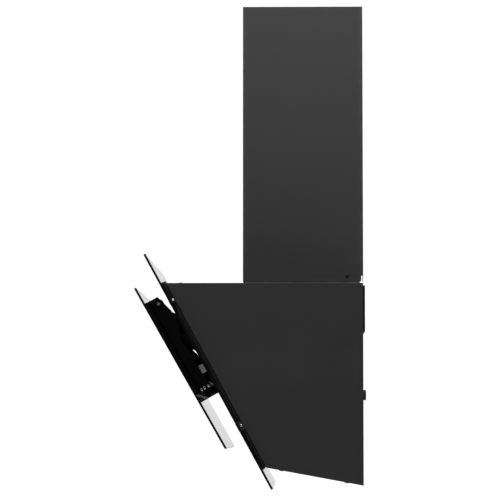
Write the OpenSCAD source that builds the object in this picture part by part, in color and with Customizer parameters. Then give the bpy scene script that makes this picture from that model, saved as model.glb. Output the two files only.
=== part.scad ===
// Inclined wall cooker hood with a parallel-opening glass flap, in millimetres.
// +Z is up, the front faces -Y and the wall is the plane Y = 0.
// The origin is the middle of the wall rail's screw row, on the wall.

/* [Body] */
// Depth of the body's top edge, from its front corner to its back
body_d = 345; // [330:1:420]
// Height of the body at its front corner
body_h = 322.5; // [300:0.5:400]
// Lean of the front from the vertical, in degrees
lean = 28.6; // [26:0.1:30]
// Slope of the underside, falling towards the wall, in degrees
under_slope = 10.4; // [6:0.1:14]
// Height of the body's top above the wall screws
top_above_screws = 40; // [34:1:60]
// Gap between the wall and the body's back
wall_gap = 5; // [4:0.5:10]
// Thickness of the steel sheets
sheet = 1.2; // [0.8:0.1:1.5]
// How far the main glass stands out past each side of the body
side_overhang = 10; // [8:1:14]

/* [Main glass] */
// Width of the main glass
glass_w = 600; // [580:1:900]
// Length of the main glass along its slope
glass_l = 468; // [460:1:562]
// Thickness of both glasses
glass_t = 4; // [3:0.5:5]
// Radius of the glass corners
glass_r = 9; // [4:1:16]
// How far the main glass reaches past the body's top corner
glass_over_top = 63; // [58:1:76]
// Distance from the glass's front face back to the body's front edge
glass_gap = 11.2; // [10:0.2:13]
// Thickness of the steel frame behind each glass
frame_t = 2.6; // [2:0.1:3]
// Glass left at each side of the opening
side_strip = 38; // [34:1:46]
// Top of the opening, measured down the glass
open_top = 64; // [60:1:68]
// Bottom of the opening, measured down the glass
open_bottom = 345; // [335:1:352]

/* [Flap] */
// Length of the flap glass along its slope
flap_l = 324; // [318:1:360]
// How far the flap laps over the opening at each side
flap_lap = 18; // [14:1:24]
// Top of the open flap, measured down the main glass
flap_top = 43.2; // [40:0.2:46]
// How far the open flap's top stands out from the main glass
flap_out = 43.4; // [40:0.2:46]
// Extra lean of the open flap, in degrees
flap_lean = 1.05; // [0.5:0.05:1.5]
// Gap between the opening's edge and the cheek
cheek_gap = 6.5; // [5:0.5:9]
// Thickness of the cheeks
cheek_t = 1.5; // [1:0.1:2]

/* [Lift mechanism] */
// Arm pivot in the body, measured down the glass
pivot_u = 240; // [236:1:246]
// Arm pivot in the body, measured out from the glass (negative is inside)
pivot_v = -13; // [-15:0.5:-12]
// Flap pivot, measured down the glass
lug_u = 86.5; // [85:0.5:88]
// Flap pivot, measured out from the glass
lug_v = 18.7; // [18:0.1:20]
// Diameter of the arm pins
pin_d = 6; // [5:0.5:6.5]
// Running clearance of a pin in its hole, on the radius
pin_play = 0.08; // [0.05:0.01:0.15]
// Thickness of the lift arms
arm_t = 4; // [3:0.5:5]
// Width of the lift arms
arm_w = 12; // [10:0.5:13]
// Width of a push rod, along the glass
rod_w = 15; // [12:0.5:16]
// Thickness of a push rod, across the hood
rod_t = 7; // [6:0.5:8]
// Length of a push rod
rod_l = 50; // [46:1:52]

/* [Filters] */
// Distance of the filters' front faces behind the glass's front face
filter_deep = 52; // [48:1:58]
// Thickness of a grease filter
filter_t = 9.5; // [8:0.5:12]
// Travel of a filter latch
latch_travel = 5; // [4:0.5:6]

/* [Blower and duct] */
// Outer diameter of the duct collar
duct_d = 150; // [120:1:160]
// Height of the collar's tube
duct_h = 60; // [50:1:80]
// Distance of the duct's axis from the wall
duct_y = 110; // [95:1:115]
// Outer diameter of the blower wheel
wheel_d = 160; // [130:1:170]
// Width of the blower wheel
wheel_w = 110; // [90:1:132]
// Height of the blower's axis below the body's top
blower_drop = 140; // [136:1:150]

/* [Chimney] */
// Width of the outer chimney
chimney_w = 250; // [230:1:300]
// Depth of the outer chimney
chimney_d = 219; // [200:1:262]
// Height of the outer chimney
chimney_h = 505; // [430:1:606]
// Height of the outer chimney's lower edge above the body
chimney_lift = 13; // [10:1:20]
// Height of the inner chimney
inner_h = 476; // [420:1:482]

/* [Wall rail] */
// Width of the wall rail
rail_w = 460; // [420:1:520]
// Height of the wall rail
rail_h = 82; // [75:1:90]
// Distance of the outer wall screws from the middle
screw_reach = 200; // [180:1:210]
// Diameter of the wall screw holes
screw_hole_d = 6; // [5:0.5:8]

/* [Hidden] */
$fn = 48;

// Body outline in the Y-Z plane
body_w = glass_w - 2 * side_overhang;
half_w = body_w / 2;
inner_half = half_w - sheet;
body_top = top_above_screws;
back_y = -wall_gap;
corner_y = back_y - body_d;
foot_y = corner_y + body_h * tan(lean);
foot_z = body_top - body_h;
heel_z = foot_z - (back_y - foot_y) * tan(under_slope);
under_l = (back_y - foot_y) / cos(under_slope);

// Slanted frame: u runs down the glass from its top edge, v out of its front face
glass_y = corner_y - glass_over_top * sin(lean) - glass_gap * cos(lean);
glass_z = body_top + glass_over_top * cos(lean) - glass_gap * sin(lean);
body_u1 = glass_over_top + body_h / cos(lean);
opening_w = glass_w - 2 * side_strip;
flap_w = opening_w + 2 * flap_lap;
frame_v = -(glass_t + frame_t);
frame_w = glass_w - 30;
buffer_h = 0.9;
touch_w = 160;
touch_h = 20;
touch_u = open_bottom + 31;
notch_l = 16;

// Sideways stations of the lift mechanism, from the cheek inwards
cheek_x1 = opening_w / 2 - cheek_gap;
cheek_x0 = cheek_x1 - cheek_t;
groove_x = cheek_x1 - 5.5;
rod_x1 = cheek_x0 - 2;
rod_x0 = rod_x1 - rod_t;
arm_x1 = rod_x0 - 1.5;
arm_x0 = arm_x1 - arm_t;
lug_x0 = arm_x1 + 0.7;
lug_t = 3;
pan_half = arm_x0 - 3.5;
bracket_t = 3;
bracket_x = arm_x0 - 11.3;
channel_in = bracket_x - sheet;
channel_out = opening_w / 2 + 1.8;
filter_half = channel_in - 2;

// Depths of the recess behind the opening
tray_deep = 34;
channel_deep = 84;
seat_v = -(filter_deep + filter_t + 0.2);
filter_gap = 3;
filter_u0 = open_top + 31;
filter_u1 = open_bottom - 4;
latch_bar = 34;
latch_w = 39;
tongue_w = 24;
latch_l = 16;
spring_min = 7;
pocket_l = latch_l + latch_travel + spring_min;
pocket_deep = 6;
latch_play = 0.3;
latch_x = (filter_half + filter_gap / 2) / 2;

// Flap, measured down from its own top edge and back from its front face
tray_u0 = 31.2;
tray_u1 = 216.8;
groove_y = 11.8;
pan_recess = 17;
rod_u = 223.5;
rod_v = 10;
rod_bed = 0.5;
guide_v = -27;
guide_wall = 1;
knee_a = [147, 15.2];
knee_b = [195, -12];
hub_r = 9;
pin_r = pin_d / 2;

// Blower and duct
wheel_r = wheel_d / 2;
blower_y = -(duct_y - 6);
blower_z = body_top - blower_drop;
scroll_half = wheel_w / 2 + 10;
shaft_r = 4;
motor_r = 42;
eye_r = wheel_r - 14;
duct_r = duct_d / 2;
damper_z = body_top + 36;
damper_t = 1;
damper_gap = 1.2;

// Chimney and electrical parts
chimney_z0 = body_top + chimney_lift;
slip = 0.8;
lip = 12;
lamp_r = 29;
lamp_reach = 175;
lamp_y = 96;
screw_r = 4;
screw_edge = 12;
screw_inset = 25;
back_inside = back_y - sheet;
electric_z = heel_z + 28.5;
control_x = -220;
control_w = 150;
control_d = 45.8;
control_h = 58;
control_y = back_inside - control_d;
gland_x = 90;
gland_y = back_y - 17;
gland_d = 12;
hold_z = chimney_z0 + chimney_h - 88;
hold_h = 26;
hold_t = 1.5;
base_tab_y = -40;
base_tab_w = 22;

// Point on the slanted frame's (u, v) as (y, z)
function at(u, v) = [
    glass_y + u * sin(lean) - v * cos(lean),
    glass_z - u * cos(lean) - v * sin(lean)
];

// Distance down the glass at which depth v meets height z
function u_at_z(z, v) = (glass_z - z - v * sin(lean)) / cos(lean);

module slant() { translate([0, glass_y, glass_z]) rotate([lean, 0, 0]) children(); }

module under() { translate([0, foot_y, foot_z]) rotate([-under_slope, 0, 0]) children(); }

module flap_place() {
    slant() translate([0, -flap_out, -flap_top]) rotate([flap_lean, 0, 0]) children();
}

// Outline of (y, z) points, drawn out along X
module x_prism(x0, x1, pts) {
    translate([x0, 0, 0]) rotate([90, 0, 90]) linear_extrude(x1 - x0) polygon(pts);
}

// Outline of (u, v) points in the slanted frame, drawn out along X
module uv_prism(x0, x1, pts) {
    slant() x_prism(x0, x1, [for (p = pts) [-p[1], -p[0]]]);
}

module uv_box(x0, x1, u0, u1, v0, v1) {
    slant() translate([x0, -v1, -u1]) cube([x1 - x0, v1 - v0, u1 - u0]);
}

// Disc across the hood at (u, v)
module uv_disc(x0, x1, u, v, r) {
    slant() translate([x0, -v, -u]) rotate([0, 90, 0]) cylinder(r = r, h = x1 - x0);
}

// Box in the flap's own frame: f down the flap, y back from its front face
module flap_box(x0, x1, f0, f1, y0, y1) {
    flap_place() translate([x0, y0, -f1]) cube([x1 - x0, y1 - y0, f1 - f0]);
}

module rounded(w, h, r) {
    square([w - 2 * r, h], center = true);
    square([w, h - 2 * r], center = true);
    for (x = [-1, 1], z = [-1, 1])
        translate([x * (w / 2 - r), z * (h / 2 - r)]) circle(r);
}

// Rounded sheet parallel to the glass, centred across the hood
module uv_pane(w, u0, u1, v0, v1, r) {
    slant() translate([0, -v0, -(u0 + u1) / 2]) rotate([90, 0, 0])
        linear_extrude(v1 - v0) rounded(w, u1 - u0, r);
}

// The child and its mirror image on the other side of the hood
module both() {
    children();
    mirror([1, 0, 0]) children();
}

// ---- Body ----

module side_panel_right() {
    x = inner_half;
    fold = 14;
    lip_x = half_w - fold;
    lip_top = u_at_z(body_top - 2 * sheet, -glass_gap) + 1;
    color("#2b2b2d") difference() {
        union() {
            x_prism(x, x + sheet, [
                [corner_y, body_top], [foot_y, foot_z], [back_y, heel_z], [back_y, body_top]
            ]);
            uv_box(lip_x, lip_x + fold, lip_top, body_u1 - 4, -glass_gap - sheet, -glass_gap);
            translate([lip_x, corner_y + 18, body_top - 2 * sheet])
                cube([fold, back_y - corner_y - 24, sheet]);
            under() translate([lip_x, 6, sheet]) cube([fold, under_l - 14, sheet]);
        }
        for (u = edge_notches)
            uv_box(x - 1, x + sheet + 1, u, u + notch_l, -glass_gap - 1, -glass_gap + 1);
        body_screw_places() screw_hole();
    }
}
module side_panel_left() { mirror([1, 0, 0]) side_panel_right(); }

// Places of the screws that close the body, each pointing out of it
module body_screw_places() {
    x = half_w - screw_edge;
    for (side = [-1, 1]) {
        for (y = [corner_y + screw_inset, back_y - screw_inset - 1])
            translate([side * x, y, body_top]) children();
        under() for (y = [screw_inset + 1, under_l - screw_inset - 5])
            translate([side * x, y, 0]) mirror([0, 0, 1]) children();
    }
}
module screw_hole() { translate([0, 0, -12]) cylinder(d = 3.6, h = 24); }
module screw() {
    cylinder(r = screw_r, h = 1.3);
    translate([0, 0, -8]) cylinder(d = 3.5, h = 8);
}
module body_screws() { color("#3a3a3c") body_screw_places() screw(); }

module top_panel() {
    color("#2b2b2d") difference() {
        translate([-inner_half, corner_y + 1, body_top - sheet])
            cube([2 * inner_half, body_d - 1, sheet]);
        translate([0, -duct_y, 0]) cylinder(r = duct_r - 2, h = 2 * body_top);
        translate([gland_x, gland_y, 0]) cylinder(d = gland_d + 0.2, h = 2 * body_top);
        body_screw_places() screw_hole();
    }
}

module bottom_panel() {
    color("#2b2b2d") difference() {
        under() translate([-inner_half, 1, 0]) cube([2 * inner_half, under_l - 3, sheet]);
        lamp_places() translate([0, 0, -3]) cylinder(r = lamp_r + 0.3, h = 6);
        body_screw_places() screw_hole();
    }
}

module back_panel() {
    color("#4a4a4d") difference() {
        translate([-inner_half, back_y - sheet, heel_z + 2])
            cube([2 * inner_half, sheet, body_top - sheet - heel_z - 2.1]);
        hook_places() translate([-9, -sheet - 1, -14]) cube([18, sheet + 2, 10]);
        for (x = [-1, 1])
            translate([x * 150, 0, heel_z + 40]) rotate([90, 0, 0]) cylinder(d = 5, h = 20);
    }
}

// Places of the slots that hang the body on the wall rail
module hook_places() {
    for (x = [-1, 1]) translate([x * (rail_w / 2 - 60), back_y, body_top]) children();
}

// ---- Glass front ----

module main_glass() {
    color([0.07, 0.07, 0.08, 0.92]) difference() {
        uv_pane(glass_w, 0, glass_l, -glass_t, 0, glass_r);
        uv_pane(opening_w, open_top, open_bottom, -glass_t - 1, 1, 5);
    }
}

module front_frame() {
    color("#6e7073") difference() {
        uv_pane(frame_w, glass_over_top - 5, body_u1, frame_v, -glass_t, 3);
        uv_pane(opening_w, open_top, open_bottom, frame_v - 1, -glass_t + 1, 5);
        uv_box(-touch_w / 2, touch_w / 2, touch_u, touch_u + touch_h, frame_v - 1, -glass_t + 1);
    }
}

module front_gasket() {
    run = 9;
    w = body_w - 8;
    color("#161617") difference() {
        uv_pane(w, glass_over_top - 4.5, body_u1 - 3, -glass_gap + 0.01, frame_v, 4);
        uv_pane(w - 2 * run, glass_over_top - 1.2, body_u1 - 3 - run, -glass_gap - 1, frame_v + 1, 2);
    }
}

// Places of the glass brackets, measured down the glass, with their lengths
glass_holds = [[open_top + 27, 8], [open_bottom - 8, 16]];
edge_notches = [
    glass_holds[0][0] + glass_holds[0][1] + 10,
    glass_holds[1][0] + glass_holds[1][1] + 1.7
];

module glass_brackets() {
    color("#1d1d1f") both() for (hold = glass_holds) {
        u = hold[0];
        uv_box(frame_w / 2 + 1, frame_w / 2 + 12, u, u + hold[1], -glass_t - sheet, -glass_t);
        uv_box(frame_w / 2 + 3, frame_w / 2 + 4.5, u, u + hold[1], -glass_gap, -glass_t - sheet);
    }
}

module bracket_screws() {
    x = frame_w / 2 + 4.5;
    color("#c9cacc") both() for (hold = glass_holds) {
        uv_disc(x, x + 1.8, hold[0] + hold[1] / 2, -7.6, 2.3);
    }
}

module glass_buffers() {
    x = opening_w / 2 + 9;
    color("#202022") both() {
        for (hold = glass_holds) {
            slant() translate([x, 0, -hold[0] - hold[1] / 2]) rotate([90, 0, 0])
                linear_extrude(buffer_h) rounded(7, hold[1] - 0.5, 3.4);
        }
    }
}

module touch_board() {
    color("#1f4d3a") uv_box(-touch_w / 2 - 10, touch_w / 2 + 10, touch_u - 6, touch_u + touch_h + 6,
        frame_v - 2, frame_v);
}

// ---- Recess behind the opening ----

module side_channels() {
    reach = open_bottom + sheet;
    color("#9a9c9f") both() {
        uv_prism(channel_out - sheet, channel_out, [
            [recess_u(frame_v), frame_v], [recess_u(-channel_deep), -channel_deep],
            [reach, -channel_deep], [reach, frame_v]
        ]);
        uv_prism(channel_in, channel_out - sheet, [
            [recess_u(-channel_deep), -channel_deep],
            [recess_u(-channel_deep + sheet), -channel_deep + sheet],
            [reach, -channel_deep + sheet], [reach, -channel_deep]
        ]);
        uv_prism(channel_in, bracket_x, [
            [recess_u(-tray_deep), -tray_deep],
            [recess_u(-channel_deep + sheet), -channel_deep + sheet],
            [reach, -channel_deep + sheet], [reach, -tray_deep]
        ]);
        uv_box(channel_in, channel_out - sheet, open_bottom, reach, -channel_deep + sheet, frame_v);
    }
}

// Distance down the glass of the top panel's underside at depth v
function recess_u(v) = u_at_z(body_top - sheet - 0.3, v);

module filter_frame() {
    w = 2 * channel_in;
    u0 = recess_u(seat_v - sheet);
    color("#a5a7aa") difference() {
        union() {
            uv_box(-w / 2, w / 2, u0, open_bottom + sheet, seat_v - sheet, seat_v);
            uv_box(-w / 2, w / 2, open_bottom, open_bottom + sheet, seat_v, frame_v);
        }
        both() {
            uv_box(filter_gap + 14, filter_half - 10, filter_u0 + 12, filter_u1 - latch_bar - 2,
                seat_v - 3, seat_v + 1);
            uv_box(latch_x - tongue_w / 2 - 1, latch_x + tongue_w / 2 + 1, open_bottom - 1,
                open_bottom + 3, -filter_deep - pocket_deep - 1, -filter_deep + 1);
        }
    }
}

module grease_filter() {
    x0 = filter_gap / 2;
    bar = 10;
    color("#b4b6b9") difference() {
        uv_box(x0, filter_half, filter_u0, filter_u1, -filter_deep - filter_t, -filter_deep);
        uv_box(x0 + bar, filter_half - bar, filter_u0 + bar, filter_u1 - latch_bar,
            -filter_deep - filter_t - 1, -filter_deep + 1);
        uv_box(latch_x - latch_w / 2 - latch_play, latch_x + latch_w / 2 + latch_play,
            filter_u1 - 3 - pocket_l, filter_u1 - 3, -filter_deep - pocket_deep, -filter_deep + 1);
        uv_box(latch_x - tongue_w / 2 - latch_play, latch_x + tongue_w / 2 + latch_play,
            filter_u1 - 4, filter_u1 + 1, -filter_deep - pocket_deep, -filter_deep + 1);
    }
}
module filter_right() { grease_filter(); }
module filter_left() { mirror([1, 0, 0]) grease_filter(); }

module filter_mesh() {
    bar = 10;
    color("#c4c6c8") both() uv_box(filter_gap / 2 + bar, filter_half - bar, filter_u0 + bar,
        filter_u1 - latch_bar, -filter_deep - filter_t + 1.5, -filter_deep - 1.5);
}

module latch() {
    u1 = filter_u1 - 3.3;
    v0 = -filter_deep - pocket_deep + latch_play;
    color("#2a2a2c") {
        uv_box(latch_x - latch_w / 2, latch_x + latch_w / 2, u1 - latch_l, u1, v0, -filter_deep);
        uv_box(latch_x - tongue_w / 2, latch_x + tongue_w / 2, u1, open_bottom + 3, v0 + 0.5,
            -filter_deep - 1.5);
        uv_box(latch_x - 13, latch_x + 13, u1 - 11, u1 - 7, -filter_deep, -filter_deep + 4.5);
    }
}
module latch_right() { latch(); }
module latch_left() { mirror([1, 0, 0]) latch(); }

module latch_springs() {
    u0 = filter_u1 - 3 - pocket_l;
    length = pocket_l - latch_l - latch_play;
    color("#c8c9cb") both() for (side = [-1, 1]) {
        slant() translate([latch_x + side * 11, filter_deep + 3, -u0 - length])
            difference() {
                cylinder(r = 2.2, h = length);
                translate([0, 0, -1]) cylinder(r = 1.5, h = length + 2);
            }
    }
}

// ---- Flap ----

module flap_glass() {
    color([0.07, 0.07, 0.08, 0.92]) flap_place() translate([0, glass_t, -flap_l / 2])
        rotate([90, 0, 0]) linear_extrude(glass_t) rounded(flap_w, flap_l, glass_r);
}

module flap_frame() {
    w = 2 * (cheek_x1 + 2.5);
    color("#77797c") difference() {
        flap_box(-w / 2, w / 2, tray_u0, tray_u1, glass_t, glass_t + frame_t);
        flap_box(-w / 2 + 40, w / 2 - 40, tray_u0 + 30, tray_u1 - 30, glass_t - 1, glass_t + 4);
    }
}

module flap_pan() {
    y0 = glass_t + frame_t;
    rim = groove_x - cheek_t - 0.3;
    foot_u = tray_u1 - pan_recess;
    foot_half = bracket_x - 3;
    color("#57595c") {
        flap_box(-pan_half, pan_half, tray_u0, foot_u, y0, y0 + sheet);
        flap_box(-rim, rim, tray_u0, tray_u0 + sheet, y0 + 0.1, 28);
        flap_box(-foot_half, foot_half, foot_u - sheet, foot_u, y0 + 0.1, 30);
    }
}

// Cheek outline, as (distance down the flap, distance back from its face)
cheek_outline = [
    [31.2, 11.8], [33.5, 28.9], [39.9, 30.4], [46.6, 33], [56.4, 34.5], [62.8, 37], [88.8, 37.5],
    [95.2, 36.1], [119.2, 26.3], [129.8, 29.3], [147.8, 30], [148.3, 33.9], [159.8, 33.7]
];

module cheek() {
    bed_y = flap_y(rod_u, rod_v + rod_bed);
    f0 = flap_f(rod_u, rod_v) - 20;
    f1 = flap_f(rod_u, rod_v) + 21;
    bed_f = flap_f(rod_u, rod_v) + rod_w / 2 + 1;
    color("#1c1c1e") {
        difference() {
            flap_place() x_prism(cheek_x0, cheek_x1, [
                for (p = concat(cheek_outline, [
                    [f0, bed_y], [f1, bed_y], [f1, 33.7], [tray_u1, 33.7],
                    [tray_u1, groove_y]
                ])) [p[1], -p[0]]
            ]);
            lug_slot();
            for (y = rivet_ys)
                flap_place() translate([cheek_x0 - 1, y, -tray_u1 + 4]) rotate([0, 90, 0])
                    cylinder(r = rivet_r, h = 8);
        }
        flap_box(groove_x - cheek_t, cheek_x1, tray_u0, tray_u1, groove_y, groove_y + cheek_t);
        difference() {
            flap_box(groove_x - cheek_t, groove_x, tray_u0, tray_u1, glass_t + frame_t, groove_y);
            flap_box(groove_x - 3, groove_x + 1, tray_u0 + 2.5, tray_u0 + 15.5, 8.2, groove_y - 0.4);
        }
        flap_box(rod_x0 - 0.5, cheek_x0, f0, bed_f, bed_y - cheek_t, bed_y);
        flap_box(arm_x1 + 3, cheek_x0, bed_f, f1, bed_y - cheek_t, bed_y);
    }
}
module cheek_right() { cheek(); }
module cheek_left() { mirror([1, 0, 0]) cheek(); }

// Distance back from the flap's front face of the point (u, v), and down it
function flap_y(u, v) = (flap_out - v) * cos(flap_lean) - (u - flap_top) * sin(flap_lean);
function flap_f(u, v) = (u - flap_top) * cos(flap_lean) + (flap_out - v) * sin(flap_lean);

// Slot in the cheek around the arm pin's end
module lug_slot() {
    half = 4.35;
    slant() translate([cheek_x0 - 1, -lug_v, -lug_u]) rotate([0, 90, 0])
        linear_extrude(4) hull() {
            translate([-1.2, 0]) circle(half, $fn = 32);
            translate([3.8, 0]) circle(half, $fn = 32);
        }
}

rivet_r = 2.1;
rivet_ys = [15.4, 21.5, 29.5];

module cheek_rivets() {
    color("#8d8f92") both() for (y = rivet_ys) {
        flap_place() translate([cheek_x0, y, -tray_u1 + 4]) rotate([0, 90, 0]) {
            cylinder(r = rivet_r - 0.05, h = cheek_t);
            translate([0, 0, cheek_t]) cylinder(r = rivet_r + 0.7, h = 0.8);
        }
    }
}

module flap_lugs() {
    reach = flap_y(lug_u, lug_v);
    base_y = glass_t + frame_t;
    f = flap_f(lug_u, lug_v);
    color("#6a6c6f") both() difference() {
        union() {
            flap_box(lug_x0, lug_x0 + lug_t, f - 6.5, f + 15, base_y, reach);
            uv_disc(lug_x0, lug_x0 + lug_t, lug_u, lug_v, 9);
        }
        uv_disc(lug_x0 - 1, lug_x0 + lug_t + 1, lug_u, lug_v, pin_r + pin_play);
    }
}

// ---- Lift mechanism ----

// Flat bar between two (u, v) points, in the slanted frame's own plane
module bar(p, q, w) {
    d = q - p;
    translate([-p[1], -p[0]]) rotate([0, 0, atan2(-d[0], -d[1])])
        translate([0, -w / 2]) square([norm(d), w]);
}

module lift_arm() {
    lug = [lug_u, lug_v];
    pivot = [pivot_u, pivot_v];
    color("#151516") difference() {
        slant() translate([arm_x0, 0, 0]) rotate([90, 0, 90]) linear_extrude(arm_t) {
            bar(lug, knee_a, arm_w);
            bar(knee_a, knee_b, arm_w);
            bar(knee_b, pivot, arm_w);
            for (p = [lug, knee_a, knee_b, pivot])
                translate([-p[1], -p[0]]) circle(p == lug || p == pivot ? hub_r : arm_w / 2);
        }
        uv_disc(arm_x0 - 1, arm_x1 + 1, lug_u, lug_v, pin_r + 0.02);
        uv_disc(arm_x0 - 1, arm_x1 + 1, pivot_u, pivot_v, pin_r + pin_play);
    }
}
module lift_arm_right() { lift_arm(); }
module lift_arm_left() { mirror([1, 0, 0]) lift_arm(); }

module arm_pin() {
    color("#d6d7d9") {
        uv_disc(arm_x0 - 1.5, arm_x0, lug_u, lug_v, pin_r + 2);
        uv_disc(arm_x0, cheek_x1 + 1.2, lug_u, lug_v, pin_r);
    }
}
module arm_pin_right() { arm_pin(); }
module arm_pin_left() { mirror([1, 0, 0]) arm_pin(); }

module arm_brackets() {
    color("#85878a") both() {
        uv_box(bracket_x, bracket_x + bracket_t, pivot_u - 12, pivot_u + 12, -70, pivot_v + 7);
        uv_disc(bracket_x + bracket_t, arm_x0 - 0.5, pivot_u, pivot_v, 7);
        uv_disc(arm_x0 - 0.5, arm_x1 + 1.4, pivot_u, pivot_v, pin_r);
        uv_disc(arm_x1 + 0.5, arm_x1 + 1.4, pivot_u, pivot_v, pin_r + 1.5);
    }
}

module rod() {
    color("#c3c4c6") uv_box(rod_x0, rod_x1, rod_u - rod_w / 2, rod_u + rod_w / 2,
        rod_v - rod_l, rod_v);
}
module rod_right() { rod(); }
module rod_left() { mirror([1, 0, 0]) rod(); }

module rod_guides() {
    play = 0.3;
    t = guide_wall;
    u0 = rod_u - rod_w / 2 - play;
    u1 = rod_u + rod_w / 2 + play;
    color("#3c3d40") both() {
        difference() {
            uv_box(rod_x0 - t, rod_x1 + t, u0 - t, u1 + t, -channel_deep + sheet, guide_v);
            uv_box(rod_x0 - play, rod_x1 + play, u0, u1, -channel_deep + sheet + t, guide_v + 1);
        }
        uv_box(rod_x1 + t, channel_out - sheet, rod_u - 6, rod_u + 6, -62, -40);
    }
}

// ---- Blower ----

// Radius of the scroll at angle a, from the cut-off round to the back
function scroll_r(a) = wheel_r + 4 + 12 * (a - 130) / 230;

// Scroll outline in (y, z), made smaller all round by t
function scroll_points(t) = concat(
    [for (a = [130:10:360]) [
        blower_y + (scroll_r(a) - t) * cos(a),
        blower_z + (scroll_r(a) - t) * sin(a)
    ]],
    [
        [blower_y + scroll_r(360) - t, body_top - sheet - t / 10],
        [-duct_y - duct_r - 1 + t, body_top - sheet - t / 10]
    ]
);

module scroll_band() {
    color("#8f9194") difference() {
        x_prism(-scroll_half, scroll_half, scroll_points(0));
        x_prism(-scroll_half - 1, scroll_half + 1, scroll_points(sheet));
        translate([-scroll_half - 1, -duct_y - duct_r + 1, body_top - 3])
            cube([2 * scroll_half + 2, blower_y + scroll_r(360) + duct_y + duct_r - 3, 6]);
    }
}

module scroll_side() {
    color("#8f9194") difference() {
        x_prism(scroll_half, scroll_half + sheet, scroll_points(0));
        eye() translate([0, 0, scroll_half - 1]) cylinder(r = eye_r, h = 4);
    }
    color("#8f9194") eye() rotate_extrude() polygon([
        [eye_r, scroll_half + sheet], [eye_r + 3, scroll_half + sheet],
        [eye_r + 3, scroll_half + sheet + 1], [eye_r, scroll_half + sheet + 1]
    ]);
}
module scroll_side_right() { scroll_side(); }
module scroll_side_left() { mirror([1, 0, 0]) scroll_side(); }

// Frame whose +Z runs along the blower's axis to the right
module eye() { translate([0, blower_y, blower_z]) rotate([0, 90, 0]) children(); }

module impeller() {
    blades = 28;
    half = wheel_w / 2;
    color("#d8d9da") eye() difference() {
        union() {
            translate([0, 0, -1.5]) cylinder(r = wheel_r, h = 3);
            translate([0, 0, -14]) cylinder(r = 12, h = 13);
            for (z = [-half, half - 2]) translate([0, 0, z]) difference() {
                cylinder(r = wheel_r, h = 2);
                translate([0, 0, -1]) cylinder(r = eye_r, h = 4);
            }
            for (i = [0:blades - 1]) rotate([0, 0, i * 360 / blades])
                translate([eye_r + 1, 0, -half]) rotate([0, 0, 35]) cube([13.5, 1.2, wheel_w]);
        }
        translate([0, 0, -20]) cylinder(r = shaft_r + 0.02, h = 40);
    }
}

module motor_shaft() {
    color("#c8c9cb") eye() {
        translate([0, 0, -20]) cylinder(r = shaft_r, h = 62);
        translate([0, 0, -18]) cylinder(r = 7, h = 3.5);
    }
}

module motor() {
    x0 = 7;
    length = 68;
    color("#5c5e61") eye() difference() {
        union() {
            translate([0, 0, x0]) cylinder(r = motor_r, h = length);
            translate([0, 0, x0 - 3]) cylinder(r = 13, h = 4);
        }
        translate([0, 0, 0]) cylinder(r = shaft_r + pin_play, h = 44);
    }
}

module motor_bracket() {
    x = scroll_half + sheet + 1;
    color("#77797c") eye() difference() {
        union() {
            translate([0, 0, x]) cylinder(r = motor_r + 7, h = 3);
            for (a = [90, 210, 330]) rotate([0, 0, a])
                translate([motor_r + 3, -8, x]) cube([eye_r - motor_r + 1, 16, 3]);
        }
        translate([0, 0, x - 1]) cylinder(r = motor_r, h = 5);
        for (a = [90, 210, 330]) rotate([0, 0, a])
            translate([eye_r - 2, 0, x - 1]) cylinder(d = 4, h = 5);
    }
}

// ---- Duct ----

module duct_collar() {
    wall = 2;
    color("#2f3032") translate([0, -duct_y, body_top]) rotate_extrude() polygon([
        [duct_r - wall, 0], [duct_r + 10, 0], [duct_r + 10, 1.5], [duct_r, 1.5],
        [duct_r, duct_h], [duct_r - wall, duct_h]
    ]);
}

module damper_rod() {
    color("#c8c9cb") translate([-duct_r + 2.1, -duct_y, damper_z]) rotate([0, 90, 0])
        cylinder(r = 2, h = duct_d - 4.2);
}

module damper() {
    r = duct_r - 2 - damper_gap;
    hinge = 5;
    color("#d2d3d4") {
        intersection() {
            translate([0, 0, -damper_t / 2]) cylinder(r = r, h = damper_t);
            translate([-r, hinge - 2, -2]) cube([2 * r, r, 4]);
        }
        translate([-r * 0.9, hinge, 0]) rotate([0, 90, 0]) cylinder(r = 1.5, h = r * 1.8);
    }
}
module damper_back() { translate([0, -duct_y, damper_z]) damper(); }
module damper_front() { translate([0, -duct_y, damper_z]) mirror([0, 1, 0]) damper(); }

// ---- Electrical parts ----

module capacitor() {
    r = 17.5;
    body_l = 62;
    color("#e4e4e2") translate([30, back_inside - r - 2.3, electric_z + 23]) rotate([0, 90, 0]) {
        cylinder(r = r, h = body_l);
        translate([0, 0, body_l]) cylinder(r = 4, h = 8);
    }
}

module control_box() {
    wall = 2;
    color("#e0e0dc") difference() {
        translate([control_x, control_y, electric_z]) cube([control_w, control_d, control_h]);
        translate([control_x + wall, control_y - 1, electric_z + wall])
            cube([control_w - 2 * wall, control_d - wall + 0.2, control_h - 2 * wall]);
    }
}

module control_cover() {
    t = 2.4;
    color("#cfcfca") translate([control_x, control_y - t - 0.1, electric_z])
        cube([control_w, t, control_h]);
}

module cable_gland() {
    color("#1a1a1b") translate([gland_x, gland_y, body_top - 8]) difference() {
        union() {
            cylinder(d = gland_d, h = 16);
            translate([0, 0, 8]) cylinder(d = 1.5 * gland_d, h = 5);
        }
        translate([0, 0, -1]) cylinder(d = 7.5, h = 20);
    }
}

module led_driver() {
    deep = 25.8;
    color("#e6e6e3") translate([130, back_inside - deep, electric_z + 5]) cube([95, deep, 26]);
}

module lamp_places() {
    for (side = [-1, 1])
        under() translate([side * lamp_reach, under_l - lamp_y, 0]) children();
}

module lamps() {
    color("#b0b2b4") lamp_places() difference() {
        union() {
            translate([0, 0, -0.8]) cylinder(r = lamp_r + 3, h = 0.8);
            cylinder(r = lamp_r, h = 20);
        }
        translate([0, 0, -2]) cylinder(r = lamp_r - 4, h = 6);
    }
}

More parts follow.
